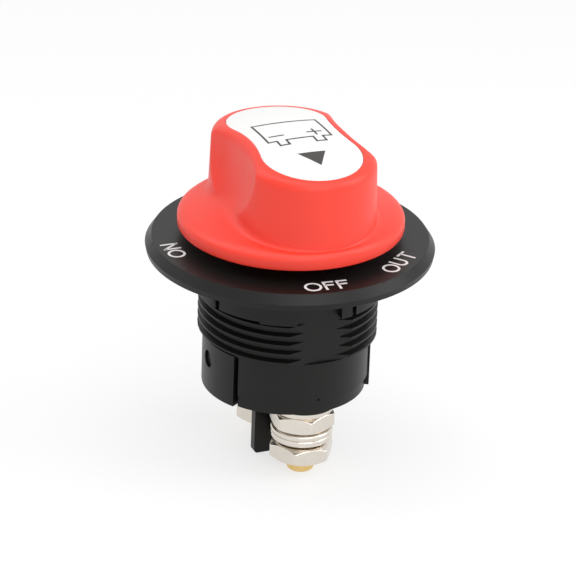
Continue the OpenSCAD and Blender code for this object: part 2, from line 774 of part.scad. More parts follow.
// Hexagon nut with chamfered corners, turned by an angle
module nut(side, z_low, h, turn) {
    across = nut_af / cos(30);
    chamfer = (across - nut_af) / 2 * 0.55;
    color(nickel)
    at_stud(side)
        difference() {
            intersection() {
                translate([0, 0, z_low]) rotate([0, 0, turn]) cylinder(d = across, h = h, $fn = 6);
                translate([0, 0, z_low])
                    rotate_extrude()
                        polygon([[0, 0], [nut_af / 2, 0], [across / 2, chamfer],
                                 [across / 2, h - chamfer], [nut_af / 2, h], [0, h]]);
            }
            translate([0, 0, z_low - 1]) cylinder(d = stud_d, h = h + 2);
        }
}

// Split spring washer, a square wire ring with one gap
module spring_washer(side, turn) {
    gap_angle = 6;
    color(nickel)
    at_stud(side)
        rotate([0, 0, turn])
            translate([0, 0, z_spring_washer])
                rotate_extrude(angle = 360 - gap_angle)
                    translate([stud_d / 2 + 0.3, 0])
                        square([washer_d / 2 - 0.4 - stud_d / 2, spring_washer_t]);
}

housing();
bottom_cover();
cover_seal();
detent_ring();
rotor();
thrust_washer();
shaft_seal();
detent_balls();
detent_spring();
contact_spring();
contact_bridge();
contact_tips();
knob();
knob_label();
drive_stem();
stem_screw();
stud(-1);  // stud_front
stud(1);  // stud_rear
washer(-1, z_seat_washer, seat_washer_t);  // seat_washer_front
washer(1, z_seat_washer, seat_washer_t);  // seat_washer_rear
nut(-1, z_lock_nut, lock_nut_h, 8);  // lock_nut_front
nut(1, z_lock_nut, lock_nut_h, 20);  // lock_nut_rear
washer(-1, z_flat_washer, flat_washer_t);  // flat_washer_front
washer(1, z_flat_washer, flat_washer_t);  // flat_washer_rear
spring_washer(-1, 60);  // spring_washer_front
spring_washer(1, 200);  // spring_washer_rear
nut(-1, z_terminal_nut, terminal_nut_h, 32);  // terminal_nut_front
nut(1, z_terminal_nut, terminal_nut_h, 3);  // terminal_nut_rear
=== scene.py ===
# %% [markdown]
# # A battery disconnect switch
#
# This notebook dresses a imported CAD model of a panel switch: a black moulded body with a threaded
# barrel, a red key knob with a white plate, and two brass studs with nickel-plated nuts. The sizes
# come from the CAD model, which is loaded as a fixed frame. Blender adds the finishes, the printed
# marks, the fine threads and the light.

# %% Load the frame
import json
import math

import bmesh
import bpy
from mathutils import Matrix, Vector


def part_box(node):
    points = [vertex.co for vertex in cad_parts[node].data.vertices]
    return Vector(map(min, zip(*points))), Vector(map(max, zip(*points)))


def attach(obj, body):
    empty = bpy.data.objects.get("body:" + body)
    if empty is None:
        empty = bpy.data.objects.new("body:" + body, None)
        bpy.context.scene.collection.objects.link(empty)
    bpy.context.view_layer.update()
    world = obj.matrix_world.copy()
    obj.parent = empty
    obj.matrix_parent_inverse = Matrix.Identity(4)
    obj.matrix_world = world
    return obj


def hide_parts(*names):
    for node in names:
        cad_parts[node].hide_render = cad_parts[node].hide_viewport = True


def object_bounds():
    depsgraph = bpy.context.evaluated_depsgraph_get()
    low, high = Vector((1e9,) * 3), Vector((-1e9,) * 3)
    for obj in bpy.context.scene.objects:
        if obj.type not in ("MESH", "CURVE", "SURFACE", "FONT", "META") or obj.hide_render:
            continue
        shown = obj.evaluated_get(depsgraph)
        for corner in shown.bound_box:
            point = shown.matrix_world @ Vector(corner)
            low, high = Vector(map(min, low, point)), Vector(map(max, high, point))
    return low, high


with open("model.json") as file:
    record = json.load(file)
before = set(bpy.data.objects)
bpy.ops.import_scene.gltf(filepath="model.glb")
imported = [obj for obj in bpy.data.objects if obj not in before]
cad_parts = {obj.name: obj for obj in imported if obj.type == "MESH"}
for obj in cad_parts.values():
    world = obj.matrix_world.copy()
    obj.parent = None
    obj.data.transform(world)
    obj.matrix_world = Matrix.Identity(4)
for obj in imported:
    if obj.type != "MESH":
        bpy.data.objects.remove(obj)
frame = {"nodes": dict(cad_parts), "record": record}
cad_low, cad_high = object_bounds()
nodes = frame["nodes"]
MM = 0.001
print("nodes:", len(nodes), "height in mm:", round((cad_high.z - cad_low.z) / MM, 2))

# %% [markdown]
# ## Measures taken from the frame
#
# Added pieces take their heights from the CAD solids, and the nuts take their size from them too. The
# measures of the knob and of the printed marks are typed in their own cells. The dial's face is the
# housing's top without the low ring round the hub, and the flange's lower side is the plane z = 0.

# %% Read the places of the main pieces
housing_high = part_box("housing")[1]
knob_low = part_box("knob")[0]
HUB_RING_RISE = 1.0 * MM
dial_z = housing_high.z - HUB_RING_RISE
stud_y = abs(sum(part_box("terminal_nut_front")[k].y for k in (0, 1))) / 2
print("dial face at", round(dial_z / MM, 2), "mm, studs at", round(stud_y / MM, 2), "mm from the axis")

# %% [markdown]
# ## Meshes from points and faces
#
# Most added pieces are made from a list of points and a list of faces. One helper merges their
# doubles, turns the faces outward, shades them smooth up to an angle and links the object. The object
# stays at the origin, and its place is in its mesh, as on a CAD node.

# %% A helper for meshes
scene = bpy.context.scene
record = frame["record"]
body_of = {name: body for body, names in record["behaviour"]["bodies"].items() for name in names}
slot_of = {row["node"]: row["material_slot"] for row in record["subparts"]}
DOUBLE_GAP = 0.0002 * MM
SHARP_ANGLE = 35.0


def made_piece(name, points, faces, sharp=SHARP_ANGLE):
    """A closed mesh object from points in metres, smooth up to an angle between faces."""
    mesh = bpy.data.meshes.new(name)
    mesh.from_pydata([tuple(point) for point in points], [], faces)
    tool = bmesh.new()
    tool.from_mesh(mesh)
    bmesh.ops.remove_doubles(tool, verts=tool.verts, dist=DOUBLE_GAP)
    bmesh.ops.recalc_face_normals(tool, faces=tool.faces)
    tool.to_mesh(mesh)
    tool.free()
    mesh.shade_smooth()
    mesh.set_sharp_from_angle(angle=math.radians(sharp))
    piece = bpy.data.objects.new(name, mesh)
    scene.collection.objects.link(piece)
    return piece


def mount(piece, material, body, slot, *replaced):
    """Gives a finished piece its material and its body, and hides what it stands for. Its slot is not
    used.
    """
    piece.data.materials.clear()
    piece.data.materials.append(material)
    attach(piece, body)
    if replaced:
        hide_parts(*replaced)
    print(piece.name, "has", len(piece.data.polygons), "faces and rides on", body)


print("bodies:", sorted(set(body_of.values())))

# %% [markdown]
# ## The camera
#
# The photograph was taken with a long lens from in front and above. The pointer of the knob shows
# to the right of the camera, so the camera stands to the left of it. The distance and the lens were
# found from the ellipses of the flange. The switch leans a little to the right in the picture, which
# is a roll of the camera.

# %% Place the camera
CAMERA_AZIMUTH = -23.5
CAMERA_ELEVATION = 24.6
CAMERA_DISTANCE = 0.8
CAMERA_ROLL = 2.1
LENS_PIXELS = 3370
PHOTO_PIXELS = 576
AIM_DROP = 14.2 * MM
AIM_SIDE = 0.09 * MM


def towards_camera(azimuth, elevation):
    """Unit vector from the object to a camera at these angles in degrees."""
    a, e = math.radians(azimuth), math.radians(elevation)
    return Vector((math.sin(a) * math.cos(e), -math.cos(a) * math.cos(e), math.sin(e)))


camera_data = bpy.data.cameras.new("photo_camera")
camera_data.sensor_width = 36
camera_data.lens = LENS_PIXELS / PHOTO_PIXELS * camera_data.sensor_width
camera_data.clip_start = 0.05
camera = bpy.data.objects.new("photo_camera", camera_data)
scene.collection.objects.link(camera)
dial_centre = Vector((0, 0, dial_z))
camera.location = dial_centre + CAMERA_DISTANCE * towards_camera(CAMERA_AZIMUTH, CAMERA_ELEVATION)
side = Vector((math.cos(math.radians(CAMERA_AZIMUTH)), math.sin(math.radians(CAMERA_AZIMUTH)), 0))
aim = dial_centre - Vector((0, 0, AIM_DROP)) - AIM_SIDE * side
look = (aim - camera.location).to_track_quat("-Z", "Y").to_matrix()
camera.rotation_euler = (look @ Matrix.Rotation(math.radians(CAMERA_ROLL), 3, "Z")).to_euler()
scene.camera = camera
scene.view_settings.view_transform = "Standard"
print("lens in mm:", round(camera_data.lens, 1))

# %% [markdown]
# ## Sockets as numbers
#
# A material is a graph of nodes, and long chains of Math nodes are hard to read. The class below
# wraps one output socket, so that an expression such as 0.4 + 0.1 * grain builds the nodes by itself.

# %% A small language for materials
class Wire:
    """One output socket. Arithmetic on it adds the Math nodes."""

    def __init__(self, finish, socket):
        self.finish = finish
        self.socket = socket

    def _math(self, operation, *values):
        return self.finish.node("ShaderNodeMath", {"operation": operation}, *values)[0]

    def __add__(self, other):
        return self._math("ADD", self, other)

    def __sub__(self, other):
        return self._math("SUBTRACT", self, other)

    def __mul__(self, other):
        return self._math("MULTIPLY", self, other)

    def clamp(self):
        return self._math("MINIMUM", self._math("MAXIMUM", self, 0.0), 1.0)

    __radd__ = __add__
    __rmul__ = __mul__


class Finish:
    """A material with one Principled shader, and the calls that feed it."""

    def __init__(self, name, **fixed):
        self.material = bpy.data.materials.new(name)
        self.material.use_nodes = True
        self.tree = self.material.node_tree
        self.shader = self.tree.nodes["Principled BSDF"]
        for socket, value in fixed.items():
            self.shader.inputs[socket.replace("_", " ")].default_value = value

    def node(self, kind, settings=None, *values, **named):
        """Adds a node. Its settings come first, then its inputs by order or by name."""
        made = self.tree.nodes.new(kind)
        for key, value in (settings or {}).items():
            setattr(made, key, value)
        for key, value in [*enumerate(values), *named.items()]:
            socket = made.inputs[key]
            if isinstance(value, Wire):
                self.tree.links.new(value.socket, socket)
            else:
                socket.default_value = value
        return [Wire(self, output) for output in made.outputs]

    def feed(self, socket, wire):
        self.tree.links.new(wire.socket, self.shader.inputs[socket])

    def place(self):
        """Object coordinates, in metres on the part."""
        return self.node("ShaderNodeTexCoord")[3]

    def noise(self, scale, detail=2.0, rough=0.5):
        """Noise from 0 to 1 with features of about 1 / scale metres."""
        return self.node("ShaderNodeTexNoise", None, Vector=self.place(), Scale=scale,
                         Detail=detail, Roughness=rough)[0]

    def mix(self, factor, first, second):
        """A colour between two colours."""
        made = self.tree.nodes.new("ShaderNodeMix")
        made.data_type = "RGBA"
        for key, value in ((0, factor), (6, first), (7, second)):
            if isinstance(value, Wire):
                self.tree.links.new(value.socket, made.inputs[key])
            else:
                made.inputs[key].default_value = value if key == 0 else (*value, 1.0)
        return Wire(self, made.outputs[2])

    def bump(self, height, distance):
        """Feeds the shader's Normal from a height, where 1 is this distance in metres."""
        normal = self.node("ShaderNodeBump", None, Strength=1.0, Distance=distance, Height=height)[0]
        self.feed("Normal", normal)


print("helpers ready")

# %% [markdown]
# ## Moulded plastics
#
# The body is shown as black nylon from a fine-grained mould: satin, with an even grain and a faint
# drift in gloss. The knob is a red moulding with a softer gloss. Its colour drifts a little, and a
# trace of light passes into it. Grain is bump only, because it is far smaller than a millimetre.

# %% Black and red plastic
CLOUD_SCALE = 90.0
MOULD_SHADE = 0.86
GRAIN_GLOSS = 0.05


def moulded(name, colour, rough, grain_size, grain_depth, drift=0.04, **fixed):
    """A moulded plastic with a fine grain and a slow drift in gloss and colour."""
    finish = Finish(name, **fixed)
    grain = finish.noise(1 / grain_size, detail=3.0, rough=0.6)
    cloud = finish.noise(CLOUD_SCALE, detail=2.0)
    finish.feed("Roughness", rough + drift * (cloud - 0.5) + GRAIN_GLOSS * (grain - 0.5))
    darker = tuple(c * MOULD_SHADE for c in colour)
    finish.feed("Base Color", finish.mix((0.5 * cloud + 0.5 * grain).clamp(), darker, colour))
    finish.bump(grain, grain_depth)
    return finish.material


black_plastic = moulded("black_nylon", (0.0048, 0.0046, 0.0042), 0.39, 0.35 * MM, 0.01 * MM,
                        Specular_IOR_Level=0.27)
red_plastic = moulded("red_moulding", (0.93, 0.045, 0.022), 0.42, 0.5 * MM, 0.006 * MM, 0.06,
                      Specular_IOR_Level=0.5,
                      Subsurface_Weight=0.06, Subsurface_Scale=0.6 * MM)
cream_plastic = moulded("natural_nylon", (0.6, 0.57, 0.5), 0.5, 0.5 * MM, 0.01 * MM)
grey_plastic = moulded("grey_nylon", (0.1, 0.1, 0.105), 0.5, 0.5 * MM, 0.01 * MM)
print("plastics:", black_plastic.name, red_plastic.name)

# %% [markdown]
# ## Label, print and rubber
#
# The plate on the knob is white film with a clean gloss. The marks on it are dark grey ink, and
# the words on the dial are white ink with a faint unevenness where it sits on the grain.

# %% White film, inks and rubber
SPECK_SCALE = 2500.0
SPECK_DEPTH = 0.004 * MM
INK_SHADE = 0.93
INK_GLOSS = 0.08


def printed(name, colour, rough):
    """A thin even layer of ink or film."""
    finish = Finish(name)
    speck = finish.noise(SPECK_SCALE, detail=2.0)
    finish.feed("Base Color", finish.mix(speck, tuple(c * INK_SHADE for c in colour), colour))
    finish.feed("Roughness", rough + INK_GLOSS * (speck - 0.5))
    finish.bump(speck, SPECK_DEPTH)
    return finish.material


white_film = printed("white_film", (0.86, 0.86, 0.85), 0.34)
dark_ink = printed("dark_ink", (0.035, 0.031, 0.03), 0.5)
white_ink = printed("white_ink", (0.78, 0.78, 0.77), 0.55)
seal_rubber = moulded("seal_rubber", (0.02, 0.02, 0.02), 0.65, 0.4 * MM, 0.02 * MM)
print("inks:", dark_ink.name, white_ink.name)

# %% [markdown]
# ## Metals
#
# The nuts and washers are nickel-plated steel, warm and bright, with fine lathe lines across their
# faces and a little haze. The studs are bare turned brass. Lathe lines run round each stud's own
# axis, so the pattern is a wave over the distance from that axis.

# %% Plated steel, brass and copper
LINE_PITCH = 0.12 * MM
LINE_DEPTH = 0.0015 * MM
WAVE_FACTOR = 6.28
HAZE_SCALE = 420.0
HAZE_GLOSS = 0.16
LINE_GLOSS = 0.04
METAL_SHADE = 0.88


def turned_metal(name, colour, rough, axis_y=0.0):
    """A metal turned round a vertical axis at y, with fine rings and a cloudy gloss."""
    finish = Finish(name, Metallic=1.0)
    shifted = finish.node("ShaderNodeMapping", None, Vector=finish.place(), Location=(0, -axis_y, 0))[0]
    scale = 1 / LINE_PITCH / WAVE_FACTOR
    rings = finish.node("ShaderNodeTexWave", {"wave_type": "RINGS", "rings_direction": "Z"},
                        Vector=shifted, Scale=scale, Distortion=1.5, Detail=2.0)[1]
    haze = finish.noise(HAZE_SCALE, detail=4.0, rough=0.6)
    finish.feed("Roughness", rough + HAZE_GLOSS * (haze - 0.5) + LINE_GLOSS * (rings - 0.5))
    finish.feed("Base Color", finish.mix(haze, tuple(c * METAL_SHADE for c in colour), colour))
    finish.bump(rings + haze, LINE_DEPTH)
    return finish.material


nickel = {end: turned_metal("nickel_" + end, (0.78, 0.725, 0.65), 0.24, y)
          for end, y in (("front", -stud_y), ("rear", stud_y))}
brass = {end: turned_metal("brass_" + end, (0.83, 0.6, 0.25), 0.25, y)
         for end, y in (("front", -stud_y), ("rear", stud_y))}
steel = turned_metal("plain_steel", (0.55, 0.55, 0.56), 0.3)
copper = turned_metal("bridge_copper", (0.83, 0.42, 0.27), 0.3)
silver = turned_metal("contact_silver", (0.85, 0.85, 0.83), 0.28)
print("metals:", len(bpy.data.materials))

# %% [markdown]
# ## Dressing the CAD pieces
#
# The CAD solids come in as loose triangles with flat shading, on which a round wall shows its facets.
# So the body, the cover, the studs, the washers, the hub and the stem are copied. The triangles of
# each copy are merged, and it is shaded smooth up to an angle. A small bevel with weighted normals
# catches the light along its edges, as the rounded edges of moulded plastic and tumbled washers do.
# The nuts, the knob and its plate are made anew further down. The hidden pieces keep their CAD mesh.

# %% Smooth copies with soft edges
PLAIN = {
    "housing": black_plastic, "bottom_cover": black_plastic, "cover_seal": seal_rubber,
    "shaft_seal": seal_rubber, "detent_ring": grey_plastic, "rotor": cream_plastic,
    "thrust_washer": steel, "detent_balls": steel, "detent_spring": steel,
    "contact_spring": steel, "contact_bridge": copper, "contact_tips": silver,
    "knob": red_plastic, "knob_label": white_film, "drive_stem": steel, "stem_screw": steel,
}
SOFT_EDGES = {
    "housing": 0.16, "bottom_cover": 0.2, "rotor": 0.15, "drive_stem": 0.2,
    "seat_washer": 0.3, "flat_washer": 0.45, "spring_washer": 0.55, "stud": 0.4,
}
MERGE_GAP = 0.0005 * MM
FLAT_ANGLE = math.radians(0.3)
ROUND_ANGLE = math.radians(24)
EDGE_ANGLE = math.radians(26)


def finish_of(name):
    """The material of a CAD node, from its name."""
    if name in PLAIN:
        return PLAIN[name]
    kind, end = name.rsplit("_", 1)
    return brass[end] if kind == "stud" else nickel[end]


def soften(piece, edge, segments, angle):
    """Adds a bevel of a size in mm along the edges that turn by more than an angle."""
    bevel = piece.modifiers.new("soft_edge", "BEVEL")
    bevel.width = edge * MM
    bevel.segments = segments
    bevel.limit_method = "ANGLE"
    bevel.angle_limit = angle


def smooth_copy(name, edge):
    """A merged copy of a CAD node with smooth round walls and soft edges of a size in mm."""
    mesh = nodes[name].data.copy()
    tool = bmesh.new()
    tool.from_mesh(mesh)
    bmesh.ops.remove_doubles(tool, verts=tool.verts, dist=MERGE_GAP)
    bmesh.ops.dissolve_limit(tool, angle_limit=FLAT_ANGLE, verts=tool.verts, edges=tool.edges)
    tool.to_mesh(mesh)
    tool.free()
    mesh.shade_smooth()
    mesh.set_sharp_from_angle(angle=ROUND_ANGLE)
    piece = bpy.data.objects.new(name + "_skin", mesh)
    scene.collection.objects.link(piece)
    soften(piece, edge, 3, EDGE_ANGLE)
    piece.modifiers.new("flat_faces", "WEIGHTED_NORMAL").keep_sharp = True
    mount(piece, finish_of(name), body_of[name], slot_of[name], name)


for name, node in nodes.items():
    node.data.materials.clear()
    node.data.materials.append(finish_of(name))
    for kind, edge in SOFT_EDGES.items():
        if kind in name:
            smooth_copy(name, edge)
            break
print("dressed", len(nodes), "CAD pieces")

# %% [markdown]
# ## Nuts with scalloped chamfers
#
# A real nut is a hexagon whose corners are turned off by a cone of 30 degrees, which leaves a curved
# edge on each flat. Each nut is swept round its stud: at every angle the section takes its radius from
# the hexagon, and the chamfer takes its height from how far the hexagon stands out past the flats. The
# height, the width and the turn of each nut are read from the CAD solid, and the two front nuts are
# then tightened a little further, as they stand in the picture.

# %% Sweep the nuts
NUT_ANGLES = 180
NUT_EDGE = 0.12
FACE_INSET = 0.6
STUD_GAP = 0.02
CHAMFER = math.tan(math.radians(30))
NUT_SHARP = 20
SIXTH = math.pi / 3
TIGHTENED = {"lock_nut_front": 16, "terminal_nut_front": 25}


def nut_points(low, high, axis_y, half_flat, hole, turn):
    """Points and faces of one hexagon nut round a stud."""
    corner = half_flat / math.cos(SIXTH / 2) - NUT_EDGE
    face_r = half_flat - FACE_INSET
    points, faces = [], []
    for i in range(NUT_ANGLES):
        t = 2 * math.pi * i / NUT_ANGLES
        within = (t + SIXTH / 2) % SIXTH - SIXTH / 2
        wide = min(corner, half_flat / math.cos(within))
        drop = (wide - face_r) * CHAMFER
        across, along = math.cos(t + turn), math.sin(t + turn)
        profile = [(hole, low), (face_r, low), (wide, low + drop),
                   (wide, high - drop), (face_r, high), (hole, high)]
        points += [(r * across * MM, axis_y + r * along * MM, z * MM) for r, z in profile]
    rows = len(profile)
    for i in range(NUT_ANGLES):
        here, beyond = i * rows, (i + 1) % NUT_ANGLES * rows
        for k in range(rows):
            following = (k + 1) % rows
            faces.append((here + k, here + following, beyond + following, beyond + k))
    return points, faces


for kind in ("lock_nut", "terminal_nut"):
    for end in ("front", "rear"):
        name = kind + "_" + end
        low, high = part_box(name)
        axis_y = (low.y + high.y) / 2
        corners = [Vector((v.co.x, v.co.y - axis_y)) for v in nodes[name].data.vertices]
        farthest = max(corners, key=lambda corner: corner.length)
        half_flat = farthest.length / MM * math.cos(SIXTH / 2)
        stud_r = min(corner.length for corner in corners) / MM - STUD_GAP
        turn = math.atan2(farthest.y, farthest.x) + SIXTH / 2 + math.radians(TIGHTENED.get(name, 0))
        shape = nut_points(low.z / MM, high.z / MM, axis_y, half_flat, stud_r, turn)
        nut = made_piece(name + "_skin", *shape, sharp=NUT_SHARP)
        soften(nut, NUT_EDGE, 2, math.radians(NUT_SHARP))
        mount(nut, nickel[end], "base", slot_of[name], name)

# %% [markdown]
# ## The form of the knob
#
# The knob is a red moulding: a thin skirt, and a grip with two round ends and straight sides. A wide
# finger hollow is scooped out of each side, with a clear edge like a U that ends just above the skirt.
# The CAD solid has much the same form with a few thousand facets. Here it is sampled finely, with a
# flatter dome and a longer plate, as in the picture. At an angle from the pointer and a height, the
# wall lies where the distance across equals the body's half width less the depth of the hollow. No
# simple formula gives that radius, so it is found by halving.

# %% Outlines of the label and the grip
LABEL_CENTRE = 10.65
LABEL_END = 11.98
LABEL_WAIST = 10.86
LABEL_SIDE = (LABEL_WAIST ** 2 + LABEL_CENTRE ** 2 - LABEL_END ** 2) / (2 * (LABEL_END - LABEL_WAIST))
SIDE_CENTRE = LABEL_WAIST + LABEL_SIDE
BODY_CENTRE = 8.6
BODY_RADIUS = 16.1
DRAFT = math.tan(math.radians(1.8))
SCOOP_DEPTH = 2.8
SCOOP_REACH = 13.8
SCOOP_SOFT = 0.14
SCOOP_DROP = 3.9
KNOB_HEIGHT = 23.3
GUESSES = (8.0, 30.0)
HALVINGS = 20
skirt_z = knob_low.z / MM
apex_z = skirt_z + KNOB_HEIGHT
SCOOP_LEVEL = apex_z - SCOOP_DROP


def label_radius(t, out):
    """Outline of the label, grown outward, at an angle from the pointer: two ends joined to two sides."""
    along, across = abs(math.cos(t)), abs(math.sin(t))
    reach = LABEL_END + out
    share = reach / (LABEL_END + LABEL_SIDE)
    if across * LABEL_CENTRE * (1 - share) < along * SIDE_CENTRE * share:
        return LABEL_CENTRE * along + math.sqrt(reach ** 2 - (LABEL_CENTRE * across) ** 2)
    return SIDE_CENTRE * across - math.sqrt((LABEL_SIDE - out) ** 2 - (SIDE_CENTRE * along) ** 2)


def scoop_depth(along, z):
    """Depth of the finger hollow at a place along the pointer and a height."""
    drop = max(0.0, SCOOP_LEVEL - z)
    depth = SCOOP_DEPTH * (1 - (math.hypot(along, drop) / SCOOP_REACH) ** 3)
    return (depth + math.hypot(depth, SCOOP_SOFT)) / 2


def grip_radius(t, z):
    """Wall of the grip at an angle and a height, found by halving the gap between two guesses."""
    along, across = abs(math.cos(t)), abs(math.sin(t))
    reach = BODY_RADIUS + (apex_z - z) * DRAFT
    low, high = GUESSES
    for _ in range(HALVINGS):
        r = (low + high) / 2
        beyond = max(0.0, r * along - BODY_CENTRE)
        half_width = math.sqrt(max(0.0, reach ** 2 - beyond ** 2)) - scoop_depth(r * along, z)
        low, high = (low, r) if r * across > half_width else (r, high)
    return high


print("label:", round(2 * label_radius(0, 0), 1), "by", round(2 * label_radius(math.pi / 2, 0), 1), "mm")
print("grip at the waist:", round(grip_radius(math.pi / 2, SCOOP_LEVEL), 2), "mm from the axis")

# %% [markdown]
# ## The knob's surface
#
# At each angle the section runs from under the label over the dome, round the top edge, down the
# wall, through a fillet onto the sloping skirt, round its rim and back into the hollow below. The
# fillet is wider under the finger hollows. The sections are joined round the axis, and two flat lids
# close the surface under the label and inside the hollow.

# %% Build the knob
DOME_RADIUS = 99.0
SKIRT_RADIUS = 27.0
SKIRT_ROUND = 2.8
SHOULDER_RADIUS = SKIRT_RADIUS - 1.4
WALL = 2.6
SKIRT_HEIGHT = 3.9
SKIRT_SLOPE = math.tan(math.radians(12.0))
TOP_EDGE = 2.4
FOOT_FILLET = 0.9
FOOT_FLARE = 1.9
FILLET_SHARE = 0.8
RIM = 0.8
RIM_LEAST = 0.6
SEAT_EDGE = 0.06
LABEL_GAP = 0.1
LABEL_DEPTH = 1.3
SKIRT_SIDE = 2.0
SKIRT_LIP = 0.5
INNER_FILLET = 1.2
CORE_RADIUS = 8.0
KNOB_ANGLES = 360
WALL_ROWS = 44
FIRST_GUESS = (14.0, 20.0)
ROUNDS = 4
shoulder_z = skirt_z + SKIRT_HEIGHT
HUB_GAP = 0.15
floor_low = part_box("rotor")[1].z / MM + HUB_GAP


def dome_z(r):
    return apex_z - DOME_RADIUS + math.sqrt(DOME_RADIUS ** 2 - r * r)


def slope_z(r):
    return shoulder_z + (SHOULDER_RADIUS - r) * SKIRT_SLOPE


def bend(a, corner, b, count):
    """Points on a smooth corner from a to b."""
    shares = [i / count for i in range(count + 1)]
    return [tuple(p * (1 - u) ** 2 + c * 2 * u * (1 - u) + q * u * u for p, c, q in zip(a, corner, b))
            for u in shares]


def knob_section(t):
    """Radius and height of the knob's surface at an angle, from the label's seat to the hollow."""
    top_r, foot_r = FIRST_GUESS
    for _ in range(ROUNDS):
        top_r = grip_radius(t, dome_z(top_r))
        foot_r = grip_radius(t, slope_z(foot_r))
    top_z, foot_z = dome_z(top_r), slope_z(foot_r)
    fillet = min(FOOT_FILLET + FOOT_FLARE * math.sin(t) ** 4, FILLET_SHARE * (SHOULDER_RADIUS - foot_r))
    low_z, high_z = foot_z + fillet, top_z - TOP_EDGE
    edge_r = min(label_radius(t, RIM), top_r - RIM_LEAST)
    seat_r = label_radius(t, LABEL_GAP)
    rows = [(seat_r * part, dome_z(seat_r * part) - LABEL_DEPTH) for part in (0.25, 0.5, 0.75, 1.0)]
    rows += [(seat_r, dome_z(seat_r) - SEAT_EDGE), (seat_r + SEAT_EDGE, dome_z(seat_r + SEAT_EDGE))]
    rows += bend((edge_r, dome_z(edge_r)), (top_r, top_z), (grip_radius(t, high_z), high_z), 12)
    heights = [high_z + (low_z - high_z) * k / WALL_ROWS for k in range(1, WALL_ROWS)]
    rows += [(grip_radius(t, z), z) for z in heights]
    fillet_r = foot_r + fillet
    rows += bend((grip_radius(t, low_z), low_z), (foot_r, foot_z), (fillet_r, slope_z(fillet_r)), 8)
    start = max(fillet_r + 0.1, SKIRT_RADIUS - SKIRT_ROUND)
    shoulder, foot = (SKIRT_RADIUS, slope_z(SKIRT_RADIUS)), (SKIRT_RADIUS, skirt_z)
    rows += bend((start, slope_z(start)), shoulder, (SKIRT_RADIUS, shoulder_z - SKIRT_SIDE), 10)
    rows += bend((SKIRT_RADIUS, skirt_z + SKIRT_LIP), foot, (SKIRT_RADIUS - SKIRT_LIP, skirt_z), 4)
    inner, roof = SKIRT_RADIUS - WALL, shoulder_z - WALL
    rows += [(inner + 0.1, skirt_z), (inner, roof + 0.4), (inner - INNER_FILLET, roof + INNER_FILLET),
             (CORE_RADIUS, roof + INNER_FILLET), (CORE_RADIUS, floor_low)]
    return rows


def turned_shell(name, section_at, top, bottom):
    """A closed piece from sections round the axis, between a top and a bottom point on it."""
    angles = [2 * math.pi * i / KNOB_ANGLES for i in range(KNOB_ANGLES)]
    sections = [section_at(t) for t in angles]
    rows = len(sections[0])
    points = [(r * math.sin(t) * MM, -r * math.cos(t) * MM, z * MM)
              for t, section in zip(angles, sections) for r, z in section]
    points += [(0, 0, top * MM), (0, 0, bottom * MM)]
    faces = []
    for i in range(KNOB_ANGLES):
        here, beyond = i * rows, (i + 1) % KNOB_ANGLES * rows
        faces += [(here + k, here + k + 1, beyond + k + 1, beyond + k) for k in range(rows - 1)]
        faces += [(len(points) - 2, here, beyond), (len(points) - 1, beyond + rows - 1, here + rows - 1)]
    return made_piece(name, points, faces)


knob_skin = turned_shell("knob_skin", knob_section, apex_z - LABEL_DEPTH, floor_low)
print("knob:", len(knob_skin.data.polygons), "faces before the hollows are cut")

# %% [markdown]
# ## Hollows of the lobes
#
# Seen from below, the lobes are hollow on both sides of the block that holds the square stem. Two
# prisms with the label's outline, pulled inward, are subtracted with a Boolean modifier. The result
# is turned into a plain mesh before the knob is mounted.

# %% Cut the hollows
LOBE_OUT = -0.3
LOBE_START = 7.0
LOBE_SPREAD = 60
LOBE_TOP = apex_z - 8.5


def lobe_prism(side):
    """Closed prism of one lobe's hollow, on the pointer's side or behind."""
    middle = 0.0 if side < 0 else math.pi
    outline = []
    for degrees in range(-LOBE_SPREAD, LOBE_SPREAD + 1):
        t = middle + math.radians(degrees)
        r = label_radius(t, LOBE_OUT)
        outline.append((r * math.sin(t), -r * math.cos(t)))
    outline = [(x, y) for x, y in outline if abs(y) > LOBE_START]
    outline += [(outline[-1][0], side * LOBE_START), (outline[0][0], side * LOBE_START)]
    count = len(outline)
    points = [(x * MM, y * MM, z * MM) for z in (skirt_z - 1, LOBE_TOP) for x, y in outline]
    faces = [tuple(range(count)), tuple(range(2 * count - 1, count - 1, -1))]
    faces += [(i, i + count, (i + 1) % count + count, (i + 1) % count) for i in range(count)]
    return points, faces


cutters = []
for side in (-1, 1):
    cutter = made_piece("lobe_cutter", *lobe_prism(side))
    cut = knob_skin.modifiers.new("lobe", "BOOLEAN")
    cut.operation = "DIFFERENCE"
    cut.object = cutter
    cutters.append(cutter)
view_layer = bpy.context.view_layer
view_layer.update()
cut_mesh = bpy.data.meshes.new_from_object(knob_skin.evaluated_get(bpy.context.evaluated_depsgraph_get()))
knob_skin.modifiers.clear()
knob_skin.data = cut_mesh
for cutter in cutters:
    bpy.data.objects.remove(cutter)
cut_mesh.shade_smooth()
cut_mesh.set_sharp_from_angle(angle=math.radians(SHARP_ANGLE))
mount(knob_skin, red_plastic, "key", "red_plastic", "knob")

# %% [markdown]
# ## The label
#
# The white plate lies in a shallow seat a hair under the dome, so that a thin shadow runs round it.
# It is made with the same helper as the knob, from sections with a small rounded edge.

# %% Build the label
LABEL_DROP = 0.07
LABEL_EDGE = 0.15


def label_section(t):
    """Radius and height of the plate's surface at an angle, from its middle to its lower side."""
    r = label_radius(t, 0)
    rows = [(r * part, dome_z(r * part) - LABEL_DROP) for part in (0.2, 0.4, 0.6, 0.8, 0.94)]
    face, edge = r - LABEL_EDGE, dome_z(r) - LABEL_DROP
    rows += bend((face, dome_z(face) - LABEL_DROP), (r, edge), (r, edge - LABEL_EDGE), 3)
    rows += [(r * part, dome_z(r * part) - LABEL_DEPTH) for part in (1.0, 0.5)]
    return rows


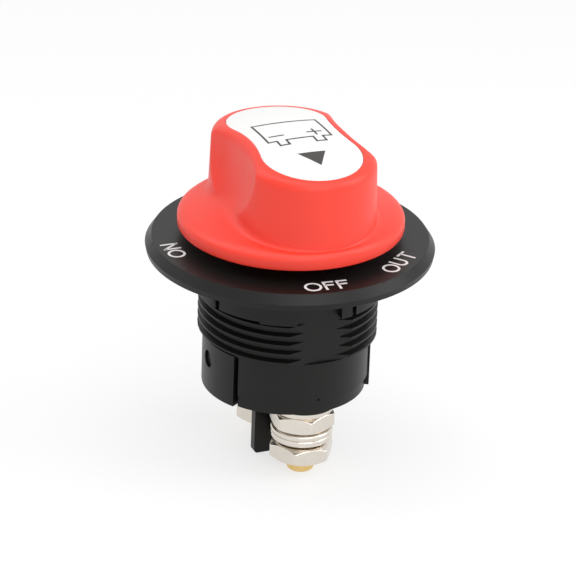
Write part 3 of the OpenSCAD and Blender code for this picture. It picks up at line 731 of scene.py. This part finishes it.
label_skin = turned_shell("label_skin", label_section, apex_z - LABEL_DROP, apex_z - LABEL_DEPTH)
mount(label_skin, white_film, "key", "label_white", "knob_label")

# %% [markdown]
# ## Ink bodies
#
# Printed marks are a thin layer of ink. Each stroke is a strip with mitred corners, cut into short
# steps so that it can follow the dome, and it gets a top, a lower side and walls a few hundredths
# of a millimetre high. A filled mark such as the arrow is a grid, so that its middle follows the
# dome too.

# %% Strokes of ink
INK = 0.03
MITRE_LEAST = 0.3


def offset_pairs(path, width, closed):
    """Left and right edge points of a stroke, mitred at its corners."""
    count = len(path)
    pairs = []
    for i, (x, y) in enumerate(path):
        before = path[i - 1] if closed or i else None
        after = path[(i + 1) % count] if closed or i < count - 1 else None
        ways = []
        if before:
            ways.append(Vector((x - before[0], y - before[1])).normalized())
        if after:
            ways.append(Vector((after[0] - x, after[1] - y)).normalized())
        way = sum(ways, Vector((0, 0))).normalized()
        normal = Vector((-way.y, way.x))
        reach = width / 2 / max(MITRE_LEAST, normal.dot(Vector((-ways[0].y, ways[0].x))))
        here = Vector((x, y))
        pairs.append((here + reach * normal, here - reach * normal))
    return pairs


def stepped(pairs, closed, step=0.8):
    """The same strip with more stations, at most a step apart."""
    ends = pairs[1:] + pairs[:1] if closed else pairs[1:]
    stations = []
    for (a, b), (c, d) in zip(pairs, ends):
        parts = max(1, math.ceil(((c + d) / 2 - (a + b) / 2).length / step))
        stations += [(a.lerp(c, k / parts), b.lerp(d, k / parts)) for k in range(parts)]
    return stations if closed else stations + [pairs[-1]]


def ink_sheet(grid, place):
    """Points and faces of one thin closed body over a grid of flat points."""
    high, wide = len(grid), len(grid[0])
    half = high * wide
    points = [place(point, side * INK) for side in (1, -1) for row in grid for point in row]
    faces = []
    for i in range(high - 1):
        for a in range(i * wide, (i + 1) * wide - 1):
            quad = (a, a + 1, a + wide + 1, a + wide)
            faces += [quad, tuple(half + corner for corner in reversed(quad))]
    rim = list(range(wide)) + [i * wide + wide - 1 for i in range(1, high)]
    rim += list(range(half - 2, half - wide - 1, -1)) + [i * wide for i in range(high - 2, 0, -1)]
    faces += [(a, a + half, b + half, b) for a, b in zip(rim, rim[1:] + rim[:1])]
    return points, faces


def ink_body(name, strips, place, sheet=((), ())):
    """Thin closed bodies on a surface. place turns flat mm and a height into a point in metres."""
    points, faces = list(sheet[0]), list(sheet[1])
    for pairs, closed in strips:
        first = len(points)
        stations = stepped(pairs, closed)
        for left, right in stations:
            points += [place(left, INK), place(right, INK), place(left, -INK), place(right, -INK)]
        count = len(stations)
        for i in range(count if closed else count - 1):
            a, b = first + 4 * i, first + 4 * ((i + 1) % count)
            faces += [(a, a + 1, b + 1, b), (a + 2, b + 2, b + 3, a + 3), (a, b, b + 2, a + 2),
                      (a + 1, a + 3, b + 3, b + 1)]
        if not closed:
            a, b = first, first + 4 * (count - 1)
            faces += [(a, a + 2, a + 3, a + 1), (b, b + 1, b + 3, b + 2)]
    return made_piece(name, points, faces)


print("ink is", INK * 2, "mm thick")

# %% [markdown]
# ## Marks on the label
#
# The plate shows a battery with its two terminals, a minus and a plus, and an arrow that points at
# the words on the dial. They lie on the dome, so each point takes its height from the dome's radius.

# %% Battery and arrow
LINE = 0.5
MARKS = {
    "case": [(-7.75, -7.4), (-7.75, 3.15), (-5.64, 3.15), (-5.64, 5.5), (-3.3, 5.5), (-3.3, 3.15),
             (3.5, 3.15), (3.5, 5.65), (5.95, 5.65), (5.95, 3.15), (8.18, 3.15), (8.2, -6.95)],
    "minus": [(-6.62, 0.4), (-2.76, 0.45)],
    "plus_across": [(2.92, 0.45), (6.83, 0.45)],
    "plus_along": [(4.85, -1.25), (4.9, 2.35)],
}
ARROW = ((-3.53, 10.5), (3.4, 10.75), (0.0, 16.6))
ARROW_STEPS = 10
TIP_SHARE = 0.998


def on_label(point, height):
    """A point across and along the pointer, at a height over the label."""
    top = dome_z(math.hypot(point[0], point[1])) - LABEL_DROP + height
    return (point[0] * MM, -point[1] * MM, top * MM)


left_end, right_end, tip = (Vector(corner) for corner in ARROW)
arrow = []
for k in range(ARROW_STEPS + 1):
    share = min(TIP_SHARE, k / ARROW_STEPS)
    left, right = left_end.lerp(tip, share), right_end.lerp(tip, share)
    arrow.append([left.lerp(right, j / ARROW_STEPS) for j in range(ARROW_STEPS + 1)])
strips = [(offset_pairs(path, LINE, name == "case"), name == "case") for name, path in MARKS.items()]
label_marks = ink_body("label_marks", strips, on_label, ink_sheet(arrow, on_label))
mount(label_marks, dark_ink, "key", "label_white")

# %% [markdown]
# ## Words on the dial
#
# The dial carries the words ON, OFF and OUT in thin capitals, 4.3 mm high. Each letter is drawn with
# a few strokes. OFF and OUT are read from outside the dial, and ON is read from the middle. A word is
# placed by its angle from the front and its distance from the axis.

# %% Letters from strokes
CAP = 4.3
STROKE = 0.6
HALF = (CAP - STROKE) / 2


def arc(centre_y, wide, high, first, last, count):
    """Points on an ellipse between two angles in degrees."""
    turns = [math.radians(first + (last - first) * k / count) for k in range(count + 1)]
    return [(wide * math.cos(a), centre_y + high * math.sin(a)) for a in turns]


BASE = -HALF - STROKE / 2
TOP = HALF + STROKE / 2
LETTERS = {
    "O": [(arc(0, 1.8, HALF, 0, 360, 36)[:-1], True)],
    "F": [([(0, BASE), (0, HALF), (2.45, HALF)], False), ([(0, 0.25), (2.15, 0.25)], False)],
    "N": [([(-1.28, BASE), (-1.28, TOP)], False), ([(1.28, BASE), (1.28, TOP)], False),
          ([(-1.28, TOP - 0.25), (1.28, BASE + 0.25)], False)],
    "U": [([(-1.28, TOP)] + arc(-HALF + 1.28, 1.28, 1.28, 180, 360, 18) + [(1.28, TOP)], False)],
    "T": [([(-1.62, HALF), (1.62, HALF)], False), ([(0, BASE), (0, HALF)], False)],
}
WORDS = {
    "word_off": (-5.7, 29.15, 1, [("O", -3.4), ("F", -0.5), ("F", 2.75)]),
    "word_out": (38.2, 29.0, 1, [("O", -3.75), ("U", 0.35), ("T", 4.4)]),
    "word_on": (-90.3, 29.5, -1, [("O", -1.85), ("N", 2.25)]),
}


def word(name, angle, radius, tops_inward, letters):
    """One word on the dial's face, at an angle in degrees from the front."""
    out = Vector((math.sin(math.radians(angle)), -math.cos(math.radians(angle))))
    up = -tops_inward * out
    along = Vector((up.y, -up.x))

    def on_dial(point, height):
        flat = out * radius + along * point[0] + up * point[1]
        return (flat.x * MM, flat.y * MM, dial_z + height * MM)

    strips = []
    for letter, at in letters:
        for path, closed in LETTERS[letter]:
            strips.append((offset_pairs([(x + at, y) for x, y in path], STROKE, closed), closed))
    return ink_body(name, strips, on_dial)


for name, (angle, radius, tops_inward, letters) in WORDS.items():
    mount(word(name, angle, radius, tops_inward, letters), white_ink, "base", "black_plastic")

# %% [markdown]
# ## Fine threads on the studs
#
# The studs are M8 threads with a pitch of 1.25 mm. A thread follows a path, so Geometry Nodes make
# it: a spiral is swept by a small triangle, and the result stands at both studs. Only a band between
# the washers and the nut shows, so the thread stops inside the nuts.

# %% Thread tree
THREAD_PITCH = 1.25 * MM
THREAD_HIDDEN = 1.5 * MM
nut_high, washer_high = (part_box(name)[1].z for name in ("terminal_nut_front", "spring_washer_front"))
THREAD_LOW = nut_high - THREAD_HIDDEN
THREAD_LENGTH = washer_high - nut_high + 2 * THREAD_HIDDEN


def thread_tree(material):
    """Node tree of a swept thread at two places, with its sizes as named inputs."""
    tree = bpy.data.node_groups.new("stud_thread", "GeometryNodeTree")
    sizes = {"Radius": 3.93 * MM, "Pitch": THREAD_PITCH, "Turns": THREAD_LENGTH / THREAD_PITCH,
             "Height": 0.2 * MM, "Stud Distance": 2 * stud_y, "Low End": THREAD_LOW}
    for title, value in sizes.items():
        socket = tree.interface.new_socket(title, in_out="INPUT", socket_type="NodeSocketFloat")
        socket.default_value = value
    tree.interface.new_socket("Thread", in_out="OUTPUT", socket_type="NodeSocketGeometry")
    given = tree.nodes.new("NodeGroupInput").outputs

    def fill(socket, value):
        if hasattr(value, "is_linked"):
            tree.links.new(value, socket)
        else:
            socket.default_value = value

    def add(kind, settings=None, **values):
        made = tree.nodes.new(kind)
        for key, value in (settings or {}).items():
            setattr(made, key, value)
        for key, value in values.items():
            fill(made.inputs[key.replace("_", " ")], value)
        return made.outputs

    def times(a, b):
        made = tree.nodes.new("ShaderNodeMath")
        made.operation = "MULTIPLY"
        fill(made.inputs[0], a)
        fill(made.inputs[1], b)
        return made.outputs[0]

    rise = times(given["Pitch"], given["Turns"])
    spiral = add("GeometryNodeCurveSpiral", Resolution=48, Rotations=given["Turns"],
                 Start_Radius=given["Radius"], End_Radius=given["Radius"], Height=rise)["Curve"]
    upright = add("GeometryNodeSetCurveNormal", {"mode": "Z_UP"}, Curve=spiral)["Curve"]
    triangle = add("GeometryNodeCurvePrimitiveCircle", Resolution=3, Radius=given["Height"])["Curve"]
    ridge = add("GeometryNodeCurveToMesh", Curve=upright, Profile_Curve=triangle, Fill_Caps=True)["Mesh"]
    front_y = times(given["Stud Distance"], -0.5)
    start = add("ShaderNodeCombineXYZ", Y=front_y, Z=given["Low End"])["Vector"]
    step = add("ShaderNodeCombineXYZ", Y=given["Stud Distance"])["Vector"]
    places = add("GeometryNodeMeshLine", Count=2, Start_Location=start, Offset=step)["Mesh"]
    both = add("GeometryNodeInstanceOnPoints", Points=places, Instance=ridge)["Instances"]
    real = add("GeometryNodeRealizeInstances", Geometry=both)["Geometry"]
    dressed = add("GeometryNodeSetMaterial", Geometry=real, Material=material)["Geometry"]
    tree.links.new(dressed, tree.nodes.new("NodeGroupOutput").inputs[0])
    return tree


def grown(name, tree):
    """The plain mesh that a tree makes, as an object at the origin."""
    seed = bpy.data.objects.new(name, bpy.data.meshes.new(name + "_seed"))
    scene.collection.objects.link(seed)
    modifier = seed.modifiers.new("grow", "NODES")
    modifier.node_group = tree
    for item in tree.interface.items_tree:
        if item.in_out == "INPUT":
            modifier[item.identifier] = item.default_value
    view_layer.update()
    mesh = bpy.data.meshes.new_from_object(seed.evaluated_get(bpy.context.evaluated_depsgraph_get()))
    seed.modifiers.clear()
    seed.data = mesh
    return seed


stud_threads = grown("stud_threads", thread_tree(brass["front"]))
mount(stud_threads, brass["front"], "base", "stud_brass")

# %% [markdown]
# ## The floor and the light
#
# The picture has a pure white ground and very soft light from all sides. Two soft boxes, from the
# right and from behind on the left, draw pale bands down the body. One from above and one from the
# front lift the plate and the red. The ground shows white to the camera and in reflections through
# its colour and a share of emission, so that no extra light falls on the part.

# %% Studio
def shown_ray(tree):
    """1 for rays from the camera, a mirror or clear matter, and 0 for those that light the part."""
    rays = tree.nodes.new("ShaderNodeLightPath")
    total = rays.outputs["Is Camera Ray"]
    for kind in ("Is Glossy Ray", "Is Transmission Ray"):
        either = tree.nodes.new("ShaderNodeMath")
        either.operation = "MAXIMUM"
        tree.links.new(total, either.inputs[0])
        tree.links.new(rays.outputs[kind], either.inputs[1])
        total = either.outputs[0]
    return total


def studio_surface(name, colour, glow):
    """A pale surface, part of which shows as plain white to the camera and in reflections."""
    material = bpy.data.materials.new(name)
    material.use_nodes = True
    tree = material.node_tree
    plain = tree.nodes["Principled BSDF"]
    plain.inputs["Base Color"].default_value = (*colour, 1)
    plain.inputs["Roughness"].default_value = 0.9
    emission = tree.nodes.new("ShaderNodeEmission")
    mixer = tree.nodes.new("ShaderNodeMixShader")
    seen = tree.nodes.new("ShaderNodeMath")
    seen.operation = "MULTIPLY"
    seen.inputs[1].default_value = glow
    tree.links.new(shown_ray(tree), seen.inputs[0])
    tree.links.new(seen.outputs[0], mixer.inputs[0])
    tree.links.new(plain.outputs[0], mixer.inputs[1])
    tree.links.new(emission.outputs[0], mixer.inputs[2])
    tree.links.new(mixer.outputs[0], tree.nodes["Material Output"].inputs["Surface"])
    return material


FLOOR_HALF = 1.5
FLOOR_WHITE = (0.98, 0.98, 0.98)
FLOOR_GLOW = 0.68
AMBIENT = 0.46
floor_mesh = bpy.data.meshes.new("floor")
floor_z = cad_low.z
corners = [(x * FLOOR_HALF, y * FLOOR_HALF, floor_z) for x, y in ((-1, -1), (1, -1), (1, 1), (-1, 1))]
floor_mesh.from_pydata(corners, [], [(0, 1, 2, 3)])
floor_mesh.materials.append(studio_surface("floor_white", FLOOR_WHITE, FLOOR_GLOW))
floor = bpy.data.objects.new("floor", floor_mesh)
scene.collection.objects.link(floor)

world = bpy.data.worlds.new("studio")
world.use_nodes = True
scene.world = world
backdrop = world.node_tree.nodes["Background"]
backdrop.inputs["Color"].default_value = (1, 1, 1, 1)
strength = world.node_tree.nodes.new("ShaderNodeMapRange")
strength.inputs["To Min"].default_value = AMBIENT
strength.inputs["To Max"].default_value = 1.0
world.node_tree.links.new(shown_ray(world.node_tree), strength.inputs["Value"])
world.node_tree.links.new(strength.outputs[0], backdrop.inputs["Strength"])


def soft_box(name, azimuth, elevation, distance, size, watts):
    """A rectangular area lamp at a direction and distance from the part, which it faces."""
    lamp = bpy.data.lights.new(name, "AREA")
    lamp.shape = "RECTANGLE"
    lamp.size, lamp.size_y = size
    lamp.energy = watts
    box = bpy.data.objects.new(name, lamp)
    box.location = aim + distance * towards_camera(azimuth, elevation)
    box.rotation_euler = (aim - box.location).to_track_quat("-Z", "Y").to_euler()
    scene.collection.objects.link(box)


soft_box("box_left", -130, 50, 0.6, (0.35, 0.5), 0.8)
soft_box("box_right", 62, 34, 0.6, (0.35, 0.5), 1.4)
soft_box("box_top", -20, 80, 0.7, (0.6, 0.6), 1.7)
soft_box("box_front", -5, 30, 0.7, (0.5, 0.35), 1.4)
print("lamps:", len(bpy.data.lights))
